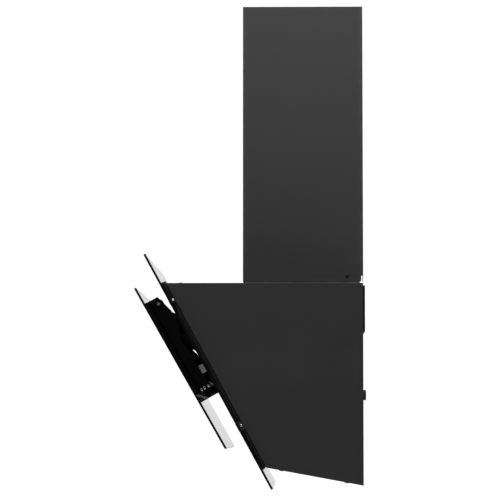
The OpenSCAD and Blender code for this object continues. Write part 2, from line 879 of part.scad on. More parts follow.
module lamp_lenses() {
    color("#f2f2ee") lamp_places() translate([0, 0, -0.4]) cylinder(r = lamp_r - 4, h = 2.4);
}

// ---- Chimney ----

// U-shaped duct cover, open at the wall, with narrow lips along its rear edges
module cover(w, d, h, gap) {
    difference() {
        translate([-w / 2, -d, 0]) cube([w, d - gap, h]);
        translate([-w / 2 + sheet, -d + sheet, -1]) cube([w - 2 * sheet, d - 2 * sheet - gap, h + 2]);
        translate([-w / 2 + lip, -d / 2, -1]) cube([w - 2 * lip, d, h + 2]);
    }
}

module chimney_outer() {
    color("#3f4042") difference() {
        translate([0, 0, chimney_z0]) cover(chimney_w, chimney_d, chimney_h, 0);
        for (x = [-1, 1]) translate([x * chimney_w / 2, 0, chimney_z0 + 4])
            cube([8, 7, 12], center = true);
        chimney_screw_places() translate([0, 0, -20]) cylinder(d = 5, h = 40);
    }
}

module chimney_inner() {
    w = chimney_w - 2 * sheet - 2 * slip;
    color("#47484a") translate([0, 0, chimney_z0 + 20])
        cover(w, chimney_d - sheet - slip, inner_h, sheet + slip);
}

// Places of the screws that hold the outer cover, each pointing out sideways
module chimney_screw_places() {
    for (x = [-1, 1]) translate([x * chimney_w / 2, base_tab_y + base_tab_w / 2, chimney_z0 + 9.5])
        rotate([0, x * 90, 0]) children();
}

// The wall bracket of the inner cover, and the base that carries the outer one
module chimney_brackets() {
    w = chimney_w - 2 * lip - 16;
    base_w = chimney_w - 2 * sheet - 2 * slip - 2 * sheet - 2;
    base_d = chimney_d - sheet - slip - 8;
    color("#c9cbcd") difference() {
        union() {
            translate([0, 0, hold_z]) {
                translate([-w / 2, -hold_t, 0]) cube([w, hold_t, hold_h]);
                for (x = [-w / 2, w / 2 - hold_t]) translate([x, -24, 0]) cube([hold_t, 24, hold_h]);
            }
            difference() {
                translate([-base_w / 2, -base_d - 6, body_top]) cube([base_w, base_d, chimney_lift + 5]);
                translate([-base_w / 2 + sheet, -base_d - 6 + sheet, body_top - 1])
                    cube([base_w - 2 * sheet, base_d + 6, chimney_lift + 12]);
            }
            for (x = [-1, 1])
                translate([x * (base_w / 2 - hold_t / 2) - hold_t / 2, base_tab_y, body_top])
                    cube([hold_t, base_tab_w, chimney_lift + 17]);
        }
        for (x = [-80, 80]) translate([x, 1, hold_z + hold_h / 2]) rotate([90, 0, 0])
            cylinder(d = screw_hole_d, h = 4);
        chimney_screw_places() translate([0, 0, -20]) cylinder(d = 3.6, h = 40);
    }
}

module chimney_screws() {
    color("#27282a") chimney_screw_places() {
        cylinder(r = 3.6, h = 1.4);
        translate([0, 0, -8]) cylinder(d = 3.5, h = 8);
    }
}

// ---- Wall parts ----

module wall_rail() {
    top = body_top - 1;
    color("#1b1b1c") difference() {
        union() {
            translate([-rail_w / 2, -1.5, top - rail_h]) cube([rail_w, 1.5, rail_h]);
            translate([-rail_w / 2, -wall_gap + 0.1, top - 1.5]) cube([rail_w, wall_gap - 0.1, 1.5]);
            translate([-rail_w / 2, -wall_gap + 0.1, top - rail_h])
                cube([rail_w, wall_gap - 0.1, 1.5]);
            hook_places() {
                translate([-8, -3, -6.2]) cube([16, 2 + wall_gap, 2.1]);
                translate([-8, -3, -6.2]) cube([16, 1.5, 4.6]);
            }
        }
        for (x = [-1, 1]) translate([x * screw_reach, 1, 0]) rotate([90, 0, 0])
            cylinder(d = screw_hole_d, h = 8);
    }
}

module wall_spacers() {
    z = body_top - 196;
    color("#141415") both() translate([half_w - 24, 0, z]) rotate([90, 0, 0])
        cylinder(r = 9, h = wall_gap);
}

side_panel_left();
side_panel_right();
top_panel();
bottom_panel();
back_panel();
body_screws();
main_glass();
front_frame();
front_gasket();
glass_brackets();
bracket_screws();
glass_buffers();
side_channels();
filter_frame();
filter_left();
filter_right();
filter_mesh();
latch_left();
latch_right();
latch_springs();
flap_glass();
flap_frame();
flap_pan();
cheek_left();
cheek_right();
cheek_rivets();
flap_lugs();
lift_arm_left();
lift_arm_right();
arm_pin_left();
arm_pin_right();
arm_brackets();
rod_left();
rod_right();
rod_guides();
scroll_band();
scroll_side_left();
scroll_side_right();
impeller();
motor_shaft();
motor();
motor_bracket();
capacitor();
control_box();
control_cover();
cable_gland();
led_driver();
lamps();
lamp_lenses();
touch_board();
duct_collar();
damper_rod();
damper_front();
damper_back();
chimney_outer();
chimney_inner();
chimney_brackets();
chimney_screws();
wall_rail();
wall_spacers();
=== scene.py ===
# %% [markdown]
# # A slanted cooker hood with a lifting glass flap
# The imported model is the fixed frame: its steel, joints and sizes are finished.
# This lesson adds what a frame can't hold: polished glass rims, coils, a filter lattice,
# screw recesses and a procedural finish for every piece.

# %% Load the frame
import math

import bmesh
import bpy
import numpy as np
from mathutils import Matrix, Vector


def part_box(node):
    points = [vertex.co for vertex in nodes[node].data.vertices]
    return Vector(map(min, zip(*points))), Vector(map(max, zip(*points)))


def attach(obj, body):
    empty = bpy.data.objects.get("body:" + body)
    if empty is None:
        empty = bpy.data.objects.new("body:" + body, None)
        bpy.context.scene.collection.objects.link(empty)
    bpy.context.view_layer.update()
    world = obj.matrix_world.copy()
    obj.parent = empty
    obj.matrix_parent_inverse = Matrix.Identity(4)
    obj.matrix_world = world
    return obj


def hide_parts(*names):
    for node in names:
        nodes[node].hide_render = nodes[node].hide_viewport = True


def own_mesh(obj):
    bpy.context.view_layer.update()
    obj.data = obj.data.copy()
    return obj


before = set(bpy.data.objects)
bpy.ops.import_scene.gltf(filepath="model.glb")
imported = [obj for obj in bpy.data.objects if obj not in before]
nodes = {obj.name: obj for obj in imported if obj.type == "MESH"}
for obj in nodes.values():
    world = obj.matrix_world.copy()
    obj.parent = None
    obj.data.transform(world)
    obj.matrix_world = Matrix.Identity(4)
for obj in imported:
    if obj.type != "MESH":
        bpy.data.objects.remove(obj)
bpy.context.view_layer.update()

# %% [markdown]
# ## The camera
# The hood is looked at squarely from its right side, from a little below, with a long lens.
# A short lens close by would spread the near and far edges of the glass apart. A long lens far
# away keeps them almost on top of each other, so the slim side view stays slim. The camera is
# made first, because every finish is judged by it.

# %% Camera
CAMERA_PLACE = Vector((4.462, -0.1235, -0.2201))
CAMERA_LENS = 171.9
LOOK_YAW = math.radians(-1.09)
LOOK_PITCH = math.radians(4.355)


def make_camera():
    """A camera that looks along -X, turned by a yaw and a pitch."""
    data = bpy.data.cameras.new("side_camera")
    data.lens = CAMERA_LENS
    data.clip_end = 50
    camera = bpy.data.objects.new("side_camera", data)
    bpy.context.scene.collection.objects.link(camera)
    look = Vector((
        -math.cos(LOOK_PITCH) * math.cos(LOOK_YAW),
        math.cos(LOOK_PITCH) * math.sin(LOOK_YAW),
        math.sin(LOOK_PITCH),
    ))
    camera.location = CAMERA_PLACE
    camera.rotation_euler = look.to_track_quat("-Z", "Y").to_euler()
    bpy.context.scene.camera = camera
    return camera


camera = make_camera()
print("camera at", tuple(round(x, 3) for x in camera.location))

# %% [markdown]
# ## The slanted frame
# Everything on the front lies along the glass, so places are given as u, down the glass from
# its top edge, and v, out of its front face. One matrix turns such a place into the hood's own
# axes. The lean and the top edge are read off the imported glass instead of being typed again:
# the glass's box gives its outer height and depth, and a few rounds take its thickness off them.

# %% Slanted frame
GLASS_T = 0.004
LEAN_ROUNDS = 6


def slant_of(node):
    """Matrix from (x, -v, -u) to the hood's own axes, and the length and width of a pane."""
    low, high = (Vector(p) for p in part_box(node))
    size = high - low
    lean = math.atan2(size.y, size.z)
    for _ in range(LEAN_ROUNDS):
        run = size.y - GLASS_T * math.cos(lean)
        rise = size.z - GLASS_T * math.sin(lean)
        lean = math.atan2(run, rise)
    origin = Vector((0, low.y, high.z - GLASS_T * math.sin(lean)))
    turned = Matrix.Translation(origin) @ Matrix.Rotation(lean, 4, "X")
    return turned, math.hypot(run, rise), size.x


SLANT, GLASS_L, GLASS_W = slant_of("main_glass")
FLAP, FLAP_L, FLAP_W = slant_of("flap_glass")
print("main glass", round(GLASS_W, 4), "x", round(GLASS_L, 4), "m, lean",
      round(math.degrees(SLANT.to_euler().x), 2))
print("flap glass", round(FLAP_W, 4), "x", round(FLAP_L, 4), "m, lean",
      round(math.degrees(FLAP.to_euler().x), 2))

# %% [markdown]
# ## Shader groups: small tools shared by many finishes
# Real surfaces are never one flat colour. Powder coat has a fine orange peel, zinc has
# crystals, brushed steel has lines, edges wear bright and dust settles on what faces up. The
# edge group also paints highlights along some edges, where bends catch the light.
# Copying the same nodes into every material would work too, but then each change would have to be
# made twenty times. So each effect is one node group with named sockets, built once and placed in
# every material that needs it. The groups give out only masks, tones and heights, never shaders.

# %% Helpers for node trees
def add(tree, kind, **settings):
    """A new node; settings name its properties, and inputs are set with a dictionary."""
    node = tree.nodes.new("ShaderNode" + kind)
    values = settings.pop("inputs", {})
    for name, value in settings.items():
        setattr(node, name, value)
    for name, value in values.items():
        node.inputs[name].default_value = value
    return node


def new_group(name, inputs, outputs):
    """An empty node group with float or vector sockets."""
    tree = bpy.data.node_groups.new(name, "ShaderNodeTree")
    for label, value in inputs.items():
        kind = "NodeSocketVector" if isinstance(value, tuple) else "NodeSocketFloat"
        socket = tree.interface.new_socket(label, in_out="INPUT", socket_type=kind)
        socket.default_value = value
    for label in outputs:
        tree.interface.new_socket(label, in_out="OUTPUT", socket_type="NodeSocketFloat")
    return tree, tree.nodes.new("NodeGroupInput"), tree.nodes.new("NodeGroupOutput")


def ramp(tree, source, low, high):
    """A value stretched so that low becomes 0 and high becomes 1, cut off outside."""
    node = add(tree, "MapRange", inputs={"From Min": low, "From Max": high})
    tree.links.new(source, node.inputs["Value"])
    return node.outputs["Result"]


def times(tree, first, second):
    """The product of two sockets."""
    node = add(tree, "Math", operation="MULTIPLY")
    tree.links.new(first, node.inputs[0])
    tree.links.new(second, node.inputs[1])
    return node.outputs["Value"]


GROUPS = {}
print("helpers ready, groups so far:", len(GROUPS))

# %% [markdown]
# ## Powder grain
# Powder coat is dust that is baked until it flows, and it dries with a fine orange peel. Fine
# noise gives that height. A second, broad noise moves the tone very slightly, because a wide
# sheet of one even colour looks drawn.

# %% Powder grain
def make_powder_grain():
    """Orange peel of a powder coat, and a broad cloudy tone."""
    tree, given, result = new_group("powder_grain", {"Scale": 900.0}, ["Height", "Tone"])
    place = add(tree, "TexCoord")
    fine = add(tree, "TexNoise", inputs={"Detail": 3.0, "Roughness": 0.6})
    broad = add(tree, "TexNoise", inputs={"Scale": 7.0, "Detail": 4.0})
    tree.links.new(place.outputs["Object"], fine.inputs["Vector"])
    tree.links.new(place.outputs["Object"], broad.inputs["Vector"])
    tree.links.new(given.outputs["Scale"], fine.inputs["Scale"])
    tree.links.new(fine.outputs["Fac"], result.inputs["Height"])
    tree.links.new(ramp(tree, broad.outputs["Fac"], 0.3, 0.7), result.inputs["Tone"])
    return tree


GROUPS["powder"] = make_powder_grain()
print("powder grain nodes:", len(GROUPS["powder"].nodes))

# %% [markdown]
# ## Streaks: brushed lines and a wiped film
# Brushed metal has lines a few hundredths of a millimetre wide and very long, and a cloth
# leaves wide soft streaks on glass. Both are noise whose space is squeezed more across the
# streaks than along them, so one function makes both groups.

# %% Streaks
def make_streaks(name, squeeze, noise, low, high):
    """Noise in a squeezed space: its raw value is the height, stretched it is the tone."""
    tree, given, result = new_group(name, {"Squeeze": squeeze}, ["Height", "Tone"])
    place = add(tree, "TexCoord")
    squeezed = add(tree, "Mapping")
    streaks = add(tree, "TexNoise", inputs={"Scale": 1.0, **noise})
    tree.links.new(place.outputs["Object"], squeezed.inputs["Vector"])
    tree.links.new(given.outputs["Squeeze"], squeezed.inputs["Scale"])
    tree.links.new(squeezed.outputs["Vector"], streaks.inputs["Vector"])
    tree.links.new(streaks.outputs["Fac"], result.inputs["Height"])
    tree.links.new(ramp(tree, streaks.outputs["Fac"], low, high), result.inputs["Tone"])
    return tree


GROUPS["brushed"] = make_streaks("brushed_lines", (4.0, 900.0, 900.0),
                                 {"Detail": 5.0, "Roughness": 0.7}, 0.25, 0.75)
GROUPS["film"] = make_streaks("wiped_film", (5.0, 22.0, 22.0),
                              {"Detail": 6.0, "Distortion": 0.6}, 0.35, 0.75)
print("streaky groups:", [GROUPS[name].name for name in ("brushed", "film")])

# %% [markdown]
# ## Zinc crystals and moulded grain
# Galvanised sheet has flowery crystals, each with a tone of its own, and moulded plastic has
# tiny pits from its spark-eroded mould. Voronoi cells are right for both: their random colour
# gives each crystal its tone, and the distance to the cell's middle gives the pits.

# %% Zinc crystals
def make_zinc_crystals():
    """The flowery crystals of galvanised sheet, each cell with a tone of its own."""
    tree, given, result = new_group("zinc_crystals", {"Scale": 90.0}, ["Height", "Tone"])
    place = add(tree, "TexCoord")
    cells = add(tree, "TexVoronoi", feature="F1")
    split = add(tree, "SeparateColor")
    tree.links.new(place.outputs["Object"], cells.inputs["Vector"])
    tree.links.new(given.outputs["Scale"], cells.inputs["Scale"])
    tree.links.new(cells.outputs["Color"], split.inputs["Color"])
    tree.links.new(cells.outputs["Distance"], result.inputs["Height"])
    tree.links.new(split.outputs["Red"], result.inputs["Tone"])
    return tree


GROUPS["zinc"] = make_zinc_crystals()
print("zinc crystal nodes:", len(GROUPS["zinc"].nodes))

# %% Moulded grain
def make_moulded_grain():
    """Spark-eroded plastic: many tiny pits under a faint cloud."""
    tree, given, result = new_group("moulded_grain", {"Scale": 1500.0}, ["Height", "Tone"])
    place = add(tree, "TexCoord")
    pits = add(tree, "TexVoronoi", feature="SMOOTH_F1")
    cloud = add(tree, "TexNoise", inputs={"Scale": 14.0, "Detail": 3.0})
    tree.links.new(place.outputs["Object"], pits.inputs["Vector"])
    tree.links.new(place.outputs["Object"], cloud.inputs["Vector"])
    tree.links.new(given.outputs["Scale"], pits.inputs["Scale"])
    tree.links.new(pits.outputs["Distance"], result.inputs["Height"])
    tree.links.new(ramp(tree, cloud.outputs["Fac"], 0.3, 0.7), result.inputs["Tone"])
    return tree


GROUPS["moulded"] = make_moulded_grain()
print("moulded grain nodes:", len(GROUPS["moulded"].nodes))

# %% [markdown]
# ## Worn edges, painted edge highlights and settled dust
# A coat wears through first at its edges, and dust lies only on what faces up. Painting such
# masks by hand would need a picture for each piece. The shader finds them by itself: an edge
# is where a rounded normal leaves the true one, and a top is where the normal points up. With
# a wide reach and a light tone, the same edge mask also paints a highlight where bends catch light.

# %% Worn edges, painted edge highlights and settled dust
def make_worn_and_lit_edges():
    """A mask that is 1 where a rounded normal leaves the true one: at sharp edges. It marks wear,
    and on some finishes a painted highlight.
    """
    tree, given, result = new_group("worn_and_lit_edges", {"Reach": 0.0012, "Amount": 0.5}, ["Mask"])
    true = add(tree, "NewGeometry")
    rounded = add(tree, "Bevel", samples=4)
    dot = add(tree, "VectorMath", operation="DOT_PRODUCT")
    place = add(tree, "TexCoord")
    patch = add(tree, "TexNoise", inputs={"Scale": 60.0, "Detail": 4.0})
    tree.links.new(given.outputs["Reach"], rounded.inputs["Radius"])
    tree.links.new(true.outputs["Normal"], dot.inputs[0])
    tree.links.new(rounded.outputs["Normal"], dot.inputs[1])
    tree.links.new(place.outputs["Object"], patch.inputs["Vector"])
    edge = ramp(tree, dot.outputs["Value"], 0.995, 0.80)
    worn = times(tree, edge, ramp(tree, patch.outputs["Fac"], 0.35, 0.65))
    tree.links.new(times(tree, worn, given.outputs["Amount"]), result.inputs["Mask"])
    return tree


def make_settled_dust():
    """Dust on what faces up, broken by noise."""
    tree, given, result = new_group("settled_dust", {"Amount": 0.3}, ["Mask"])
    true = add(tree, "NewGeometry")
    split = add(tree, "SeparateXYZ")
    place = add(tree, "TexCoord")
    patch = add(tree, "TexNoise", inputs={"Scale": 35.0, "Detail": 6.0})
    tree.links.new(true.outputs["Normal"], split.inputs["Vector"])
    tree.links.new(place.outputs["Object"], patch.inputs["Vector"])
    up = ramp(tree, split.outputs["Z"], 0.4, 1.0)
    fluff = times(tree, up, ramp(tree, patch.outputs["Fac"], 0.4, 0.8))
    tree.links.new(times(tree, fluff, given.outputs["Amount"]), result.inputs["Mask"])
    return tree


GROUPS["worn"] = make_worn_and_lit_edges()
GROUPS["dust"] = make_settled_dust()
print("shader groups:", sorted(GROUPS))

# %% [markdown]
# ## One recipe for the finishes
# A coat or a bare sheet is never one flat tone. A finish here is a Principled shader whose colour
# runs between two close tones by a pattern group, turns to bare metal at worn edges and to grey
# under dust. On the chimney the edge tone is a painted highlight along its bends, and on the front
# frame it is wear together with a painted highlight line. The pattern's height feeds a Bump. One
# function makes them all, because they differ only in these values. Metallic, IOR and the coat are
# constants on the shader's own sockets.

# %% Tones and their blending
DUST_TINT = (0.42, 0.41, 0.39, 1)
COLD = 1.01
COAT_ROUGHNESS = 0.08


def grey(value):
    """A grey that leans a trace to blue, as steel does."""
    return (value, value, value * COLD, 1)


def blend_colour(tree, mask, first, second):
    """Mixes a colour or socket towards a second colour by a mask.

    A Mix node has an A, a B and a Result for each kind of data under the same names, so the
    ones for colours are picked by their numbers.
    """
    node = add(tree, "Mix", data_type="RGBA")
    tree.links.new(mask, node.inputs[0])
    for index, colour in ((6, first), (7, second)):
        if isinstance(colour, tuple):
            node.inputs[index].default_value = colour
        else:
            tree.links.new(colour, node.inputs[index])
    return node.outputs[2]


print("a trial grey:", grey(0.5))

# %% The recipe
def finish(name, tones, rough, pattern, setting, bump=0.1, depth=0.0002, metal=0.0,
           wear_and_sheen=0.4, reach=0.0012, bare_and_sheen_tone=(0.4, 0.4, 0.41, 1), dust=0.15, coat=0.0,
           ior=1.5):
    """A material: tones and rough are (low, high) pairs that the pattern moves between."""
    material = bpy.data.materials.new(name)
    material.use_nodes = True
    tree = material.node_tree
    shader = tree.nodes["Principled BSDF"]
    grain = add(tree, "Group", node_tree=GROUPS[pattern])
    grain.inputs[0].default_value = setting
    colour = blend_colour(tree, grain.outputs["Tone"], tones[0], tones[1])
    # Edge tone: bare metal where the coat wears, and a painted highlight on the chimney and the
    # frame.
    if wear_and_sheen:
        worn = add(tree, "Group", node_tree=GROUPS["worn"],
                   inputs={"Amount": wear_and_sheen, "Reach": reach})
        colour = blend_colour(tree, worn.outputs["Mask"], colour, bare_and_sheen_tone)
    if dust:
        settled = add(tree, "Group", node_tree=GROUPS["dust"], inputs={"Amount": dust})
        colour = blend_colour(tree, settled.outputs["Mask"], colour, DUST_TINT)
    tree.links.new(colour, shader.inputs["Base Color"])
    spread = add(tree, "MapRange", inputs={"To Min": rough[0], "To Max": rough[1]})
    tree.links.new(grain.outputs["Tone"], spread.inputs["Value"])
    tree.links.new(spread.outputs["Result"], shader.inputs["Roughness"])
    raised = add(tree, "Bump", inputs={"Strength": bump, "Distance": depth})
    tree.links.new(grain.outputs["Height"], raised.inputs["Height"])
    tree.links.new(raised.outputs["Normal"], shader.inputs["Normal"])
    shader.inputs["Metallic"].default_value = metal
    shader.inputs["IOR"].default_value = ior
    shader.inputs["Coat Weight"].default_value = coat
    shader.inputs["Coat Roughness"].default_value = COAT_ROUGHNESS
    return material


print("patterns to choose from:", sorted(set(GROUPS) - {"worn", "dust"}))

# %% [markdown]
# ## The finishes
# The cabinet has a satin black powder coat, and the chimney is a little greyer and softer.
# Hidden housings are galvanised, and the small turned parts are bright zinc, black oxide or
# aluminium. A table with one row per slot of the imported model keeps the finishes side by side, so
# that their tones can be judged against each other.

# %% Coated and bare steel
FINISH = {
    "black_steel": finish("satin_black_coat", (grey(0.0245), grey(0.0265)), (0.50, 0.58),
                          "powder", 900.0, bump=0.12, wear_and_sheen=0.10, dust=0.05),
    # The chimney's edge mask reaches 10 mm and turns lighter: a painted highlight along its bends,
    # where they would catch light.
    "chimney_steel": finish("chimney_coat_painted_edge_highlight", (grey(0.0375), grey(0.0395)), (0.55, 0.64),
                            "powder", 900.0, bump=0.10, wear_and_sheen=0.8, reach=0.010,
                            bare_and_sheen_tone=grey(0.075), dust=0.04),
    "back_steel": finish("grey_back_coat", (grey(0.060), grey(0.075)), (0.50, 0.62),
                         "powder", 700.0, bump=0.10, wear_and_sheen=0.15, dust=0.10),
    "rail_steel": finish("matt_rail_coat", (grey(0.016), grey(0.021)), (0.60, 0.70),
                         "powder", 700.0, bump=0.15, wear_and_sheen=0.15, dust=0.10),
    "tray_steel": finish("deep_black_coat", (grey(0.0075), grey(0.0095)), (0.42, 0.52),
                         "powder", 900.0, bump=0.12, wear_and_sheen=0.10, bare_and_sheen_tone=grey(0.08),
                         dust=0.02, ior=1.2),
    # The frame's edges turn light grey over a short reach: wear, and also a painted highlight line
    # along them.
    "frame_steel": finish("black_frame_coat_painted_edge_line", (grey(0.0045), grey(0.006)), (0.42, 0.52),
                          "powder", 900.0, bump=0.12, wear_and_sheen=0.5, reach=0.0007,
                          bare_and_sheen_tone=grey(0.25), dust=0.03, ior=1.25),
    "arm_steel": finish("black_arm_coat", (grey(0.0085), grey(0.011)), (0.40, 0.50),
                        "powder", 900.0, bump=0.12, wear_and_sheen=0.15, bare_and_sheen_tone=grey(0.08),
                        dust=0.02, ior=1.2),
    "zinc_steel": finish("galvanised_sheet", (grey(0.52), grey(0.72)), (0.34, 0.52), "zinc",
                         90.0, bump=0.05, metal=0.45, wear_and_sheen=0.15, bare_and_sheen_tone=(0.6, 0.6, 0.61, 1)),
    "motor_steel": finish("plated_motor_shell", (grey(0.36), grey(0.46)), (0.30, 0.42), "zinc",
                          160.0, bump=0.04, metal=0.95, wear_and_sheen=0.15, bare_and_sheen_tone=(0.6, 0.6, 0.61, 1)),
    "rod_aluminium": finish("drawn_aluminium", (grey(0.62), grey(0.74)), (0.34, 0.46),
                            "brushed", (4.0, 900.0, 900.0), bump=0.06, metal=0.35,
                            wear_and_sheen=0.2, bare_and_sheen_tone=(0.75, 0.75, 0.76, 1), dust=0.05),
    "filter_aluminium": finish("filter_aluminium", (grey(0.55), grey(0.68)), (0.26, 0.40),
                               "brushed", (4.0, 700.0, 700.0), bump=0.06, metal=0.95,
                               wear_and_sheen=0.2, bare_and_sheen_tone=(0.8, 0.8, 0.81, 1), dust=0.05),
    "spring_steel": finish("spring_wire", (grey(0.45), grey(0.58)), (0.22, 0.32), "brushed",
                           (300.0, 300.0, 300.0), bump=0.03, metal=1.0, wear_and_sheen=0.0, dust=0.0),
    "bright_screws": finish("bright_zinc", (grey(0.62), grey(0.74)), (0.20, 0.34), "brushed",
                            (300.0, 300.0, 300.0), bump=0.04, metal=1.0, wear_and_sheen=0.0, dust=0.02),
    "dark_screws": finish("black_oxide", (grey(0.006), grey(0.010)), (0.38, 0.50), "moulded",
                          1600.0, bump=0.06, metal=0.2, wear_and_sheen=0.4, bare_and_sheen_tone=grey(0.3)),
    "lamp_metal": finish("brushed_lamp_rim", (grey(0.50), grey(0.64)), (0.24, 0.34), "brushed",
                         (60.0, 900.0, 900.0), bump=0.05, metal=1.0, wear_and_sheen=0.1),
}
METALS = len(FINISH)
print("metal finishes:", METALS)

# %% Plastic, rubber and board
FINISH["seal_rubber"] = finish("seal_rubber", (grey(0.012), grey(0.018)), (0.66, 0.80),
                               "moulded", 1800.0, bump=0.25, wear_and_sheen=0.0, dust=0.1)
FINISH["black_plastic"] = finish("black_plastic", (grey(0.012), grey(0.016)), (0.42, 0.54),
                                 "moulded", 1500.0, bump=0.2, wear_and_sheen=0.15,
                                 bare_and_sheen_tone=(0.07, 0.07, 0.07, 1))
FINISH["white_plastic"] = finish("white_plastic", ((0.62, 0.61, 0.58, 1), (0.68, 0.67, 0.64, 1)),
                                 (0.38, 0.48), "moulded", 1500.0, bump=0.15, wear_and_sheen=0.1,
                                 bare_and_sheen_tone=(0.8, 0.79, 0.76, 1))
FINISH["circuit_board"] = finish("board_lacquer", ((0.010, 0.090, 0.040, 1),
                                                  (0.014, 0.120, 0.055, 1)), (0.24, 0.34),
                                 "moulded", 900.0, bump=0.1, wear_and_sheen=0.0, coat=0.6)
FINISH["lamp_lens"] = finish("frosted_lens", (grey(0.70), grey(0.78)), (0.30, 0.42),
                             "moulded", 1200.0, bump=0.1, wear_and_sheen=0.0, dust=0.0, coat=0.5)
print("other finishes:", len(FINISH) - METALS)

# %% [markdown]
# ## Black glass and its rim
# Both panes are printed black on the back, so no light comes through: the face is a dark
# mirror with a wiped film on it. The rim isn't printed, and there the glass itself shows, green
# and nearly black, with a faint mottling from the grinding wheel. Clear glass over a black sheet
# would look the same but renders slowly, so the face is one dark glossy finish. A pane has two
# materials, and its rim faces take the second one.

# %% Glass finishes
FINISH["main_glass"] = finish("black_glass_face", (grey(0.0030), grey(0.0045)), (0.03, 0.09),
                              "film", (5.0, 22.0, 22.0), bump=0.01, wear_and_sheen=0.0, dust=0.02,
                              coat=0.3, ior=1.52)
FINISH["flap_glass"] = FINISH["main_glass"]
GLASS_RIM = finish("ground_glass_rim",
                   ((0.0010, 0.0012, 0.0012, 1), (0.0040, 0.0050, 0.0048, 1)), (0.16, 0.30),
                   "moulded", 700.0, bump=0.1, wear_and_sheen=0.0, dust=0.0, ior=1.25)
print("glass finishes:", FINISH["main_glass"].name, GLASS_RIM.name)

# %% [markdown]
# ## Giving the frame its finishes
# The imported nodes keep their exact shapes. Each one only gets the finish of its own slot,
# assigned to its material slot, so hidden pieces are finished as well as the ones that show.
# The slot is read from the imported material's name, so the table and the model can't drift apart.

# %% Finish every node
def node_slot(node):
    """The record's slot for a node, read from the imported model's own material name."""
    return nodes[node].data.materials[0].name.split(".")[0]


SLOT_OF = {name: node_slot(name) for name in sorted(nodes)}
for name, slot in SLOT_OF.items():
    for place in nodes[name].material_slots:
        place.material = FINISH[slot]
print("finished nodes:", len(SLOT_OF), "with slots", sorted(set(SLOT_OF.values())))

# %% [markdown]
# ## Softened sheet edges
# A laser-cut and folded sheet has edges rounded by a few tenths of a millimetre, and they catch
# the light as a thin line. A bevel in the shader would only fake that line, so a modelled copy of
# the sheet gets real rounding with a bevel operator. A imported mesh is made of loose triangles, so
# the copy is merged and its flat faces joined first. Short edges are left alone, because a bevel
# there would run past the edge's own end.

# %% Helpers for new pieces
MM = 0.001
WELD = 0.01 * MM
FLAT = math.radians(0.5)
SHORTEST_EDGE = 1.5 * MM


def piece(name, bm, body, slot, replaced=(), materials=None, smooth=35):
    """A bmesh becomes an object that rides a body and stands for frame nodes.

    Faces that meet at less than the smooth angle, in degrees, are shaded as one; 0 shades flat.
    """
    mesh = bpy.data.meshes.new(name)
    bm.to_mesh(mesh)
    bm.free()
    made = bpy.data.objects.new(name, mesh)
    bpy.context.scene.collection.objects.link(made)
    for material in materials or [FINISH[slot]]:
        mesh.materials.append(material)
    if smooth:
        mesh.shade_smooth()
        mesh.set_sharp_from_angle(angle=math.radians(smooth))
    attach(made, body)
    if replaced:
        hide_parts(*replaced)
    return made


def merged_copy(node):
    """A bmesh copy of a frame node with its triangles joined into plain faces."""
    bm = bmesh.new()
    bm.from_mesh(nodes[node].data)
    bmesh.ops.remove_doubles(bm, verts=bm.verts, dist=WELD)
    bmesh.ops.dissolve_limit(bm, angle_limit=FLAT, verts=bm.verts, edges=bm.edges)
    return bm


def soften(bm, width, corner=50, segments=2, shortest=SHORTEST_EDGE):
    """Bevels every edge that turns more than the corner angle and isn't too short."""
    sharp = [e for e in bm.edges if e.is_manifold and e.calc_length() > shortest
             and e.calc_face_angle(0) > math.radians(corner)]
    bmesh.ops.bevel(bm, geom=sharp, offset=width, offset_type="OFFSET", affect="EDGES",
                    segments=segments, profile=0.5, material=-1, clamp_overlap=False)
    bmesh.ops.triangulate(bm, faces=[f for f in bm.faces if len(f.verts) > 4])
    return len(sharp)


print("points of one merged side panel:", len(merged_copy("side_panel_right").verts))

# %% Soften the sheets
# Each sheet's body and the rounding of its edges in mm
SHEETS = {
    "side_panel_left": ("root", 0.35), "side_panel_right": ("root", 0.35),
    "top_panel": ("root", 0.3), "bottom_panel": ("root", 0.3),
    "front_frame": ("root", 0.4), "chimney_outer": ("root", 0.35),
    "chimney_inner": ("chimney_inner", 0.35),
    "flap_frame": ("flap", 0.3), "flap_pan": ("flap", 0.3),
    "cheek_left": ("flap", 0.35), "cheek_right": ("flap", 0.35),
    "lift_arm_left": ("lift_arm_left", 0.5), "lift_arm_right": ("lift_arm_right", 0.5),
    "rod_left": ("rod_left", 0.5), "rod_right": ("rod_right", 0.5),
    "control_cover": ("root", 0.8), "led_driver": ("root", 0.8),
}
# The shortest edge that is rounded, where it isn't the usual one
SHORTEST = {"side_panel_left": 30 * MM, "side_panel_right": 30 * MM, "top_panel": 30 * MM,
            "bottom_panel": 30 * MM, "cheek_left": 6 * MM, "cheek_right": 6 * MM}
for name, (body, width) in SHEETS.items():
    copy = merged_copy(name)
    before = copy.calc_volume()
    edges = soften(copy, width * MM, shortest=SHORTEST.get(name, SHORTEST_EDGE))
    after = copy.calc_volume()
    open_edges = sum(not e.is_manifold for e in copy.edges)
    piece(name + "_soft", copy, body, SLOT_OF[name], [name], smooth=0)
    print(name, "edges", edges, "volume kept", round(after / before, 4), "open", open_edges)

# %% [markdown]
# ## Glass panes with ground rims
# A tempered pane is cut, then its rim is ground flat with a small chamfer on both faces, and
# only then is it hardened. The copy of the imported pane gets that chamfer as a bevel, and all
# faces that don't look along the pane's own normal take the rim finish. One mesh with two
# finishes keeps the pane a single solid, as the real one is.

# %% Glass panes
CHAMFER = 0.35 * MM
FACE_ON = 0.98


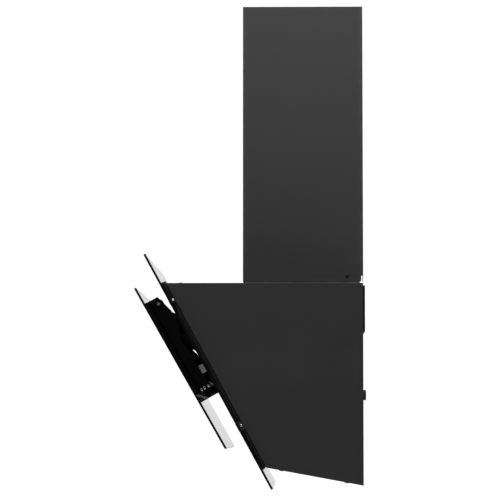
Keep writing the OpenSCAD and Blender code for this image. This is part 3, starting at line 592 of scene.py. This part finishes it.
def glass_pane(node, slant, body):
    """A copy of an imported pane with chamfered rims and its second finish on them."""
    bm = merged_copy(node)
    soften(bm, CHAMFER, segments=1)
    out = (slant.to_3x3() @ Vector((0, -1, 0))).normalized()
    rims = 0
    for face in bm.faces:
        if abs(face.normal.dot(out)) < FACE_ON:
            face.material_index = 1
            rims += 1
    piece(node + "_pane", bm, body, SLOT_OF[node], [node],
          materials=[FINISH[SLOT_OF[node]], GLASS_RIM], smooth=0)
    print(node, "rim faces", rims)


glass_pane("main_glass", SLANT, "root")
glass_pane("flap_glass", FLAP, "flap")

# %% [markdown]
# ## Turned parts: screws and rivets
# These are all turned parts: half of the cross-section is drawn once and spun round an axis,
# which gives the round steps, domes and grooves that a cylinder with bevels can't. Each one is
# found on the frame as a loose round solid, so its place is never typed. Its axis is read from
# how its points spread: a round thing spreads alike in two directions and differently along its
# axis.

# %% Find the loose solids of a node
def islands(node):
    """The loose solids of a node, each as a list of points."""
    bm = merged_copy(node)
    bm.verts.index_update()
    seen, found = set(), []
    for start in bm.verts:
        if start.index in seen:
            continue
        seen.add(start.index)
        queue, points = [start], []
        while queue:
            vert = queue.pop()
            points.append(vert.co.copy())
            for edge in vert.link_edges:
                other = edge.other_vert(vert)
                if other.index not in seen:
                    seen.add(other.index)
                    queue.append(other)
        found.append(points)
    bm.free()
    return found


print("body screws:", len(islands("body_screws")))

# %% Find the axis of a round solid
END_BAND = 0.1 * MM


def stand_on_top(points):
    """Matrix with its origin on the widest end and +Z out of it, the radius and the length."""
    cloud = np.array([tuple(p) for p in points])
    middle = cloud.mean(axis=0)
    spread, ways = np.linalg.eigh(np.cov((cloud - middle).T))
    lone = 0 if spread[1] - spread[0] > spread[2] - spread[1] else 2
    axis = ways[:, lone]
    along = (cloud - middle) @ axis
    away = np.linalg.norm(cloud - middle - np.outer(along, axis), axis=1)
    top_radius = away[along > along.max() - END_BAND].max()
    foot_radius = away[along < along.min() + END_BAND].max()
    if top_radius < foot_radius:
        axis, along = -axis, -along
    top = Vector(middle + axis * along.max())
    turned = Vector(axis).to_track_quat("Z", "Y").to_matrix().to_4x4()
    return Matrix.Translation(top) @ turned, away.max(), np.ptp(along)


lens_radius, lens_length = stand_on_top(islands("lamp_lenses")[0])[1:]
print("a lamp lens:", round(2 * lens_radius, 4), "wide and", round(lens_length, 4), "thick")

# %% Turn a part
POLE_WELD = 0.001 * MM


def lathe(bm, profile, place, steps):
    """Spins a (radius, height) profile round Z and moves it to its place.

    Finished points are tagged, so the next part in the same mesh leaves them where they are.
    """
    verts = [bm.verts.new((radius, 0, height)) for radius, height in profile]
    edges = [bm.edges.new(pair) for pair in zip(verts, verts[1:])]
    bmesh.ops.spin(bm, geom=verts + edges, cent=(0, 0, 0), axis=(0, 0, 1),
                   angle=math.tau, steps=steps, use_merge=True)
    bmesh.ops.remove_doubles(bm, verts=[v for v in bm.verts if not v.tag], dist=POLE_WELD)
    fresh = [v for v in bm.verts if not v.tag]
    bmesh.ops.transform(bm, matrix=place, verts=fresh)
    for vert in fresh:
        vert.tag = True


trial = bmesh.new()
lathe(trial, [(0, 0), (MM, 0), (MM, -MM), (0, -MM)], Matrix(), steps=8)
print("a turned trial disc:", len(trial.verts), "points and", len(trial.faces), "faces")
trial.free()

# %% Screw heads with a round recess
def screw_profile(radius, length, head):
    """Half of a screw's section, from the recess's floor out and down to the tip."""
    recess, shank = 0.42 * radius, min(1.6 * MM, 0.45 * radius)
    floor, lip = 0.7 * head, 0.06 * head
    crown = ((0.5, 0), (0.8, 0.12), (0.95, 0.4), (1, 0.75), (1, 1))
    return [(0, -floor), (recess, -floor), (recess, -lip),
            *[(out * radius, -down * head) for out, down in crown],
            (shank, -head), (shank, -length), (0, -length)]


def make_screws(node, body, head):
    """All screws of one node as one piece."""
    bm = bmesh.new()
    for points in islands(node):
        place, radius, length = stand_on_top(points)
        lathe(bm, screw_profile(radius, length, min(head, length * 0.9)), place, steps=24)
    bmesh.ops.recalc_face_normals(bm, faces=bm.faces)
    piece(node + "_turned", bm, body, SLOT_OF[node], [node], smooth=40)


make_screws("body_screws", "root", 1.4 * MM)
make_screws("chimney_screws", "root", 1.4 * MM)
make_screws("bracket_screws", "root", 1.6 * MM)
print("screws turned")

# %% Domed rivets
def dome(radius, height, rings=6):
    """Half of a flat dome's section, from its pole to its foot."""
    return [(radius * math.sin(i / rings * math.pi / 2),
             -height * (1 - math.cos(i / rings * math.pi / 2))) for i in range(rings + 1)]


def make_rivets():
    """Pop rivets in the cheeks: a domed head on a short shank with a dimple for the mandrel."""
    bm = bmesh.new()
    head = 0.8 * MM
    dimple = 0.25 * head
    for points in islands("cheek_rivets"):
        place, radius, length = stand_on_top(points)
        mandrel, lip, shank = 0.3 * radius, 0.36 * radius, 0.72 * radius
        profile = [(0, -dimple), (mandrel, -dimple), (lip, 0)]
        profile += [p for p in dome(radius, head) if p[0] > lip]
        profile += [(shank, -head), (shank, -length), (0, -length)]
        lathe(bm, profile, place, steps=20)
    bmesh.ops.recalc_face_normals(bm, faces=bm.faces)
    return piece("cheek_rivets_domed", bm, "flap", "bright_screws", ["cheek_rivets"])


print("rivet faces:", len(make_rivets().data.polygons))

# %% [markdown]
# ## Lamps and their lenses
# A hood lamp is a small turned can: its rolled rim rests on the bottom panel, its wall has
# cooling fins, and a pressed lens with fine rings spreads the light. Both stay turned profiles.
# The lenses look down, so a profile that was found standing up is turned over first.

# %% Lamp lenses
def facing_down(place, length):
    """The same place, turned over to the other end if its Z axis points up."""
    if place.to_3x3().col[2].z < 0:
        return place
    return place @ Matrix.Translation((0, 0, -length)) @ Matrix.Rotation(math.pi, 4, "X")


def make_lenses():
    """Lamp lenses: a flat dome with fine rings pressed in its face."""
    bm = bmesh.new()
    rings = 12
    crown, land, groove, rim = 0.5 * MM, 0.5 * MM, 0.22 * MM, 0.9 * MM
    for points in islands("lamp_lenses"):
        place, radius, length = stand_on_top(points)
        place = facing_down(place, length)
        profile = [(0, 0)]
        for ring in range(1, rings):
            reach = radius * ring / rings
            drop = crown * (ring / rings) ** 2
            profile += [(reach - land, -drop), (reach, -drop - groove)]
        profile += [(radius, -rim), (radius, -length), (0, -length)]
        lathe(bm, profile, place, steps=48)
    bmesh.ops.recalc_face_normals(bm, faces=bm.faces)
    return piece("lamp_lenses_ringed", bm, "root", "lamp_lens", ["lamp_lenses"], smooth=20)


print("lens faces:", len(make_lenses().data.polygons))

# %% Lamp bodies
def make_lamps():
    """Lamp bodies: a rolled rim, a deep can with cooling fins turned in its wall."""
    bm = bmesh.new()
    flange, seat, neck = 0.8 * MM, 4.75 * MM, 7 * MM
    fins, pitch, cut, gap, taper = 4, 3 * MM, 2.5 * MM, 1.8 * MM, 0.2 * MM
    for points in islands("lamps"):
        place, radius, length = stand_on_top(points)
        place = facing_down(place, length)
        can = radius - 3 * MM
        bore = can - 4 * MM
        rolled = [(bore, -0.3 * MM), (bore + 0.4 * MM, 0), (radius - 0.5 * MM, 0),
                  (radius - 0.1 * MM, -0.2 * MM), (radius, -0.45 * MM), (radius, -flange)]
        profile = [(0, -seat), (bore, -seat), *rolled, (can, -flange), (can, -neck)]
        for fin in range(fins):
            low = -neck - pitch * fin
            profile += [(can - cut, low - taper), (can - cut, low - gap + taper),
                        (can, low - gap), (can, low - pitch)]
        profile += [(can - 1 * MM, -length), (0, -length)]
        lathe(bm, profile, place, steps=64)
    bmesh.ops.recalc_face_normals(bm, faces=bm.faces)
    return piece("lamps_turned", bm, "root", "lamp_metal", ["lamps"], smooth=30)


print("lamp faces:", len(make_lamps().data.polygons))

# %% [markdown]
# ## Latch springs
# Each filter latch is pushed shut by two small coils. A coil is a wire bent round a rod: in
# mesh code it is a small circle, spun while it also moves along the axis. A curve with a round
# section would do too, but the spin gives plain closed ends.

# %% Coils
WIRE_SIDES = 6


def coil(bm, place, radius, length, turns=6, steps=14, wire=0.35 * MM):
    """One closed wire coil that hangs down from its place."""
    made = bmesh.ops.create_circle(
        bm, segments=WIRE_SIDES, radius=wire,
        matrix=Matrix.Translation((radius - wire, 0, -wire)) @ Matrix.Rotation(
            math.pi / 2, 4, "X"))
    ring = made["verts"]
    edges = sorted({e for v in ring for e in v.link_edges}, key=lambda e: e.index)
    run = length - 2 * wire
    bmesh.ops.spin(bm, geom=ring + edges, cent=(0, 0, 0), axis=(0, 0, 1),
                   dvec=(0, 0, -run / (turns * steps)), angle=math.tau * turns,
                   steps=turns * steps, use_merge=False)
    ends = [e for e in bm.edges if e.is_boundary and not e.verts[0].tag]
    bmesh.ops.holes_fill(bm, edges=ends, sides=WIRE_SIDES)
    fresh = [v for v in bm.verts if not v.tag]
    bmesh.ops.transform(bm, matrix=place, verts=fresh)
    for vert in fresh:
        vert.tag = True


def make_springs(side):
    """The two coils behind one latch."""
    bm = bmesh.new()
    for points in islands("latch_springs"):
        if points[0].x * side < 0:
            continue
        place, radius, length = stand_on_top(points)
        coil(bm, place, radius, length)
    bmesh.ops.recalc_face_normals(bm, faces=bm.faces)
    name = "latch_springs_right" if side > 0 else "latch_springs_left"
    springs = piece(name, bm, "root", "spring_steel", ["latch_springs"])
    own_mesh(springs)


make_springs(1)
make_springs(-1)

# %% [markdown]
# ## The filter lattice
# A grease filter is layers of expanded aluminium: a sheet is slit in rows and pulled until
# the slits open as diamonds. Here a plain grid gets a point in each square, and the square's
# own edges are dissolved, which leaves diamonds; each diamond is inset and its middle removed.
# Real openings are worth the faces, because light and the view pass through them.

# %% Lattice layers
# Depth in the window as a share of it, diamonds across and down, and the width of a strand
LATTICE_LAYERS = ((0.12, 20, 14, 0.9 * MM), (0.55, 26, 18, 0.7 * MM))
LATTICE_T = 0.6 * MM


def lattice_layer(bm, matrix, width, length, across, down, strand, thick):
    """One layer of diamonds, width by length, laid in place by a matrix."""
    layer = bmesh.new()
    bmesh.ops.create_grid(layer, x_segments=across, y_segments=down, size=0.5)
    bmesh.ops.scale(layer, vec=(width, length, 1), verts=layer.verts)
    grid = [e for e in layer.edges if not e.is_boundary]
    bmesh.ops.poke(layer, faces=layer.faces)
    bmesh.ops.dissolve_edges(layer, edges=grid, use_verts=False)
    cells = bmesh.ops.inset_individual(layer, faces=layer.faces, thickness=strand)
    strands = set(cells["faces"])
    bmesh.ops.delete(layer, geom=[f for f in layer.faces if f not in strands],
                     context="FACES")
    bmesh.ops.solidify(layer, geom=layer.faces, thickness=thick)
    bmesh.ops.transform(layer, matrix=matrix, verts=layer.verts)
    scratch = bpy.data.meshes.new("layer")
    layer.to_mesh(scratch)
    layer.free()
    bm.from_mesh(scratch)
    bpy.data.meshes.remove(scratch)


def make_filter_lattice():
    """A coarse front layer and a finer back layer in each filter's window."""
    unslant = SLANT.inverted()
    bm = bmesh.new()
    for points in islands("filter_mesh"):
        flat = [unslant @ p for p in points]
        low = Vector([min(p[i] for p in flat) for i in range(3)])
        high = Vector([max(p[i] for p in flat) for i in range(3)])
        size, middle = high - low, (high + low) / 2
        for depth, across, down, strand in LATTICE_LAYERS:
            place = SLANT @ Matrix.Translation(
                (middle.x, low.y + depth * size.y, middle.z)) @ Matrix.Rotation(
                math.pi / 2, 4, "X")
            lattice_layer(bm, place, size.x, size.z, across, down, strand, LATTICE_T)
    print("lattice faces:", len(bm.faces))
    piece("filter_lattice", bm, "root", "filter_aluminium", ["filter_mesh"])


make_filter_lattice()

# %% [markdown]
# ## Touch marks
# The hood is switched by touching the lower strip of the main glass. The marks are a printed
# row of plain rings and bars with no words: minus, three speeds, plus and a lamp sign. A drawing
# in the glass's shader would be lost when the part is used as plain meshes, so the marks are
# modelled as a film a tenth of a millimetre thick.

# %% Marks on the glass
MARK_U = GLASS_L - 82 * MM
MARK_STEP = 26 * MM
FILM = 0.1 * MM
FILM_GAP = 0.01 * MM
STROKE = 0.7 * MM
SIGN = 5 * MM


def add_bar(bm, x, z, width, height, turn=0.0):
    """A flat bar of the printed film, tagged as finished for the lathe."""
    place = Matrix.Translation((x, 0, z)) @ Matrix.Rotation(turn, 4, "Y") @ Matrix.Diagonal(
        (width, FILM, height, 1))
    made = bmesh.ops.create_cube(bm, size=1, matrix=place)
    for vert in made["verts"]:
        vert.tag = True


def add_ring(bm, x, z, radius, thick):
    """A flat ring of the printed film."""
    inner, half = radius - thick, FILM / 2
    section = [(inner, -half), (radius, -half), (radius, half), (inner, half), (inner, -half)]
    place = Matrix.Translation((x, 0, z)) @ Matrix.Rotation(math.pi / 2, 4, "X")
    lathe(bm, section, place, steps=28)


def make_touch_marks():
    """Minus, three speed dots, plus and a lamp sign."""
    bm = bmesh.new()
    row = -MARK_U
    for index in range(6):
        add_ring(bm, (index - 2.5) * MARK_STEP, row, 7.5 * MM, 0.5 * MM)
    minus, first_speed, plus, lamp = (place * MARK_STEP for place in (-2.5, -1.5, 1.5, 2.5))
    add_bar(bm, minus, row, SIGN, STROKE)
    for speed in range(3):
        for bar in range(speed + 1):
            add_bar(bm, first_speed + speed * MARK_STEP + (bar - speed / 2) * 1.8 * MM, row,
                    STROKE, (2.5 + bar) * MM)
    add_bar(bm, plus, row, SIGN, STROKE)
    add_bar(bm, plus, row, STROKE, SIGN)
    add_ring(bm, lamp, row, 2.2 * MM, 0.6 * MM)
    for ray in (-1, 0, 1):
        add_bar(bm, lamp + 2.4 * MM * ray, row - 4.2 * MM, 0.5 * MM, 1.6 * MM, turn=-0.5 * ray)
    out = Matrix.Translation((0, -GLASS_T - FILM / 2 - FILM_GAP, 0))
    bmesh.ops.transform(bm, matrix=SLANT @ out, verts=bm.verts)
    bmesh.ops.recalc_face_normals(bm, faces=bm.faces)
    print("touch marks, faces:", len(bm.faces))
    mark = finish("printed_marks", (grey(0.30), grey(0.34)), (0.45, 0.55), "moulded", 1500.0,
                  bump=0.05, wear_and_sheen=0.0, dust=0.0)
    piece("touch_marks", bm, "root", "main_glass", materials=[mark])


make_touch_marks()

# %% [markdown]
# ## The studio
# The hood hangs in a dim even tent with a white panel far off on its left, seen past the
# glass. Dark coats then stay dark, and only faces at a grazing angle, such as the backs of
# the panes, mirror the white panel. A ring of many lamps would need tuning one by one, so the
# world holds nearly all of it: a bright cone along -X and a white ceiling in a dim surround. What
# the camera sees straight on is plain white, whichever way it looks, and the ceiling keeps the
# floor pale. One soft lamp lets the light fall off down the chimney, and one lights the front.

# %% World
SURROUND = 0.08
PANEL = 0.80
OVERHEAD = 1.7
BACKDROP = 1.05
CONE = (0.955, 0.985)
CEILING = (0.72, 0.86)


def make_world():
    """A dim surround with a bright cone and a ceiling, and a white backdrop for the camera.

    The cone and the ceiling are where the direction's -X and Z pass from the first to the
    second of their two values.
    """
    world = bpy.data.worlds.new("white_tent")
    world.use_nodes = True
    tree = world.node_tree
    back = tree.nodes["Background"]
    back.inputs["Color"].default_value = (1, 1, 1, 1)
    place = add(tree, "TexCoord")
    split = add(tree, "SeparateXYZ")
    cone = add(tree, "MapRange", inputs={"From Min": -CONE[0], "From Max": -CONE[1],
                                         "To Min": SURROUND, "To Max": PANEL})
    path = add(tree, "LightPath")
    choose = add(tree, "Mix", data_type="FLOAT", inputs={"B": BACKDROP})
    tree.links.new(place.outputs["Generated"], split.inputs["Vector"])
    tree.links.new(split.outputs["X"], cone.inputs["Value"])
    tree.links.new(path.outputs["Is Camera Ray"], choose.inputs["Factor"])
    above = add(tree, "MapRange", inputs={"From Min": CEILING[0], "From Max": CEILING[1],
                                          "To Min": 0.0, "To Max": OVERHEAD})
    both = add(tree, "Math", operation="ADD")
    tree.links.new(split.outputs["Z"], above.inputs["Value"])
    tree.links.new(cone.outputs["Result"], both.inputs[0])
    tree.links.new(above.outputs["Result"], both.inputs[1])
    tree.links.new(both.outputs["Value"], choose.inputs["A"])
    tree.links.new(choose.outputs["Result"], back.inputs["Strength"])
    bpy.context.scene.world = world
    return world


print("world nodes:", len(make_world().node_tree.nodes))

# %% Lamps and floor
FLOOR_Z = -1.05
FLOOR_HALF = 3


def soft_panel(name, place, aim, size, power):
    """A square area light that faces a point."""
    data = bpy.data.lights.new(name, "AREA")
    data.size = size
    data.energy = power
    lamp = bpy.data.objects.new(name, data)
    lamp.location = place
    lamp.rotation_euler = (Vector(aim) - Vector(place)).to_track_quat("-Z", "Y").to_euler()
    bpy.context.scene.collection.objects.link(lamp)


def make_floor():
    """A pale floor that is only a stage."""
    bm = bmesh.new()
    bmesh.ops.create_grid(bm, x_segments=1, y_segments=1, size=FLOOR_HALF,
                          matrix=Matrix.Translation((0, 0, FLOOR_Z)))
    mesh = bpy.data.meshes.new("pale_floor")
    bm.to_mesh(mesh)
    bm.free()
    floor = bpy.data.objects.new("pale_floor", mesh)
    mesh.materials.append(finish("pale_floor", (grey(0.78), grey(0.82)), (0.6, 0.7), "powder",
                                 200.0, bump=0.02, wear_and_sheen=0.0, dust=0.0))
    bpy.context.scene.collection.objects.link(floor)


soft_panel("high_side_panel", (1.25, -0.1, 1.45), (0.1, -0.1, 0.80), size=0.5, power=13)
soft_panel("front_panel", (-0.6, -3.0, 1.6), (0, -0.1, 0.1), size=1.6, power=16)
make_floor()
bpy.context.scene.view_settings.view_transform = "Standard"
print("lamps:", [lamp.name for lamp in bpy.data.lights])

# %% [markdown]
# ## The end

# %% End
print("scene built")
